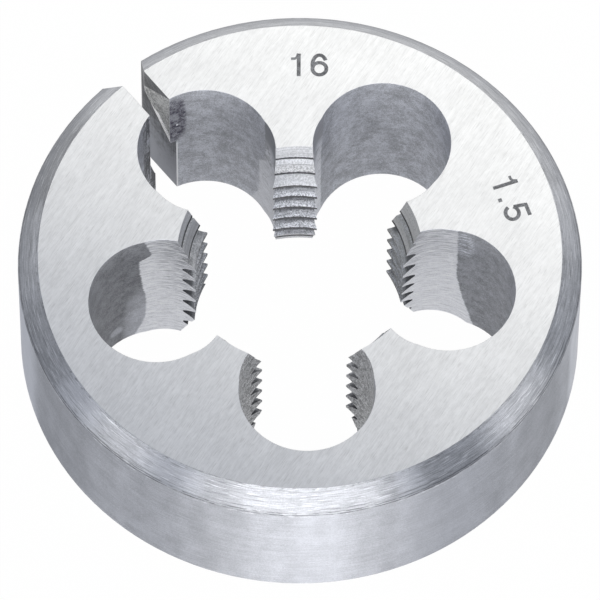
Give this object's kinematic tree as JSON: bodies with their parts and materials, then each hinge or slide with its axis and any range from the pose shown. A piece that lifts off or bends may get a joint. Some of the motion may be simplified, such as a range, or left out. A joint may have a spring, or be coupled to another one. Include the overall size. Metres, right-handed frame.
{
  "type": "round threading die",
  "caption": "Round split die of hardened steel that cuts a fine metric outside thread, with chip holes round its toothed bore and an adjusting split in its rim.",
  "frame": {"origin": "thread axis, in the back face", "axes": "+Z along the thread axis towards the front face, +Y through the chip hole that the split opens"},
  "size_m": [0.038, 0.038, 0.0129],
  "materials": {
    "ground_steel": "ground faces, turned rim, darker heat-treated chip holes"
  },
  "bodies": {
    "root": {"threading_die": "ground_steel"}
  },
  "joints": []
}
